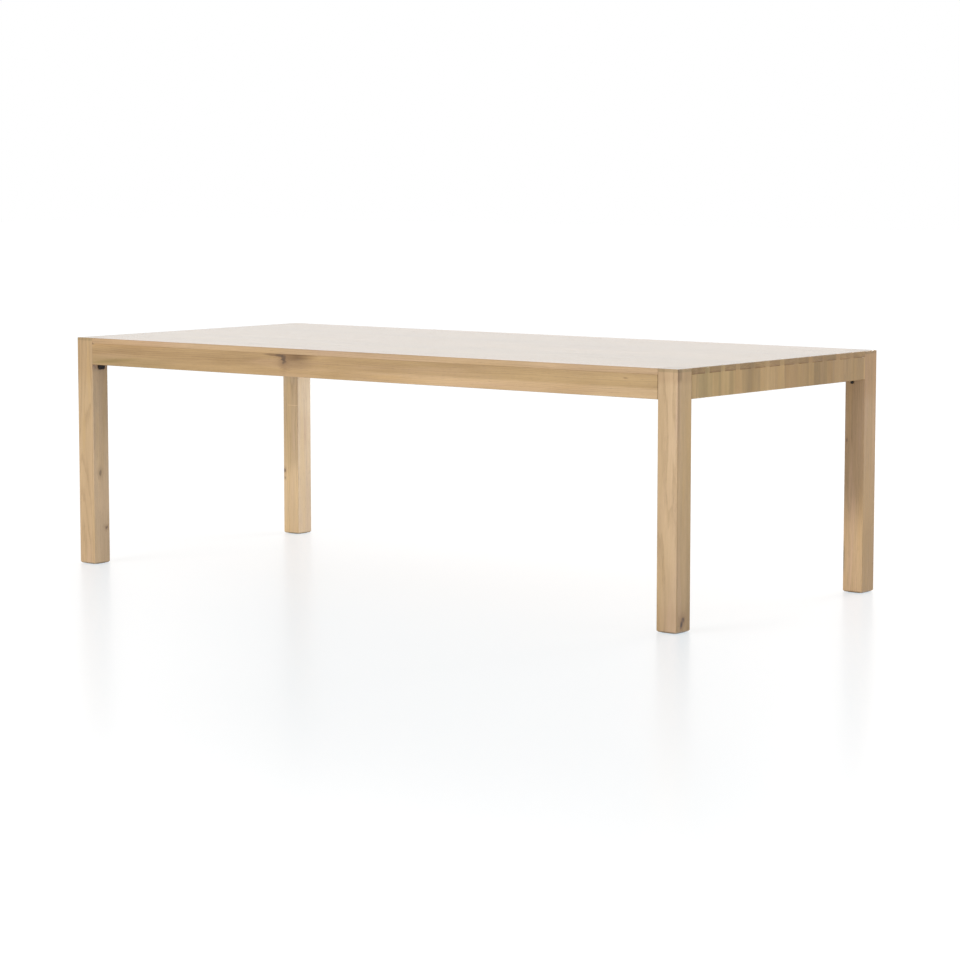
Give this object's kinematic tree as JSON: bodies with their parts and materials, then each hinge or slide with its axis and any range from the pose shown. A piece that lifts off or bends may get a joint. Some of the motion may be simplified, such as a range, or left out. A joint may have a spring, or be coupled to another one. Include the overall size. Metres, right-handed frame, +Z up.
{
  "type": "parsons dining table",
  "caption": "Long rectangular dining table in solid wood with square corner legs flush with the aprons and a plank top that is dovetailed to upright end boards.",
  "frame": {"origin": "on the floor, under the middle of the table", "axes": "+X along the table to its right end, +Y across it to the back and +Z up; the pictured long side faces -Y"},
  "size_m": [2.438, 1.092, 0.762],
  "materials": {
    "oak": "clear matt oil on light tan oak with knots and darker streaks",
    "frame_oak": "sanded oak of the hidden frame, with no finish",
    "black_steel": "satin black coat on bent steel strip and on its bolts and screws",
    "zinc_screws": "zinc-plated steel screws",
    "felt": "pressed dark brown felt"
  },
  "bodies": {
    "root": {"leg_front_left": "oak", "leg_front_right": "oak", "leg_back_left": "oak", "leg_back_right": "oak", "apron_front": "oak", "apron_back": "oak", "top_stave_01": "oak", "top_stave_02": "oak", "top_stave_03": "oak", "top_stave_04": "oak", "top_stave_05": "oak", "top_stave_06": "oak", "top_stave_07": "oak", "top_stave_08": "oak", "top_stave_09": "oak", "top_stave_10": "oak", "top_stave_11": "oak", "top_stave_12": "oak", "top_edge_stave_front": "oak", "top_edge_stave_back": "oak", "end_board_left_1": "oak", "end_board_left_2": "oak", "end_board_left_3": "oak", "end_board_left_4": "oak", "end_board_left_5": "oak", "end_board_left_6": "oak", "end_board_left_7": "oak", "end_board_left_8": "oak", "end_board_left_9": "oak", "end_board_right_1": "oak", "end_board_right_2": "oak", "end_board_right_3": "oak", "end_board_right_4": "oak", "end_board_right_5": "oak", "end_board_right_6": "oak", "end_board_right_7": "oak", "end_board_right_8": "oak", "end_board_right_9": "oak", "end_rail_left": "frame_oak", "end_rail_right": "frame_oak", "cross_bearer_1": "frame_oak", "cross_bearer_2": "frame_oak", "cross_bearer_3": "frame_oak", "glue_blocks": "frame_oak", "leg_bracket_front_left": "black_steel", "leg_bracket_front_right": "black_steel", "leg_bracket_back_left": "black_steel", "leg_bracket_back_right": "black_steel", "corner_braces": "black_steel", "leg_bolts": "black_steel", "bracket_screws": "black_steel", "brace_screws": "black_steel", "bearer_screws": "zinc_screws", "rail_screws": "zinc_screws", "foot_pad_front_left": "felt", "foot_pad_front_right": "felt", "foot_pad_back_left": "felt", "foot_pad_back_right": "felt"}
  },
  "joints": []
}
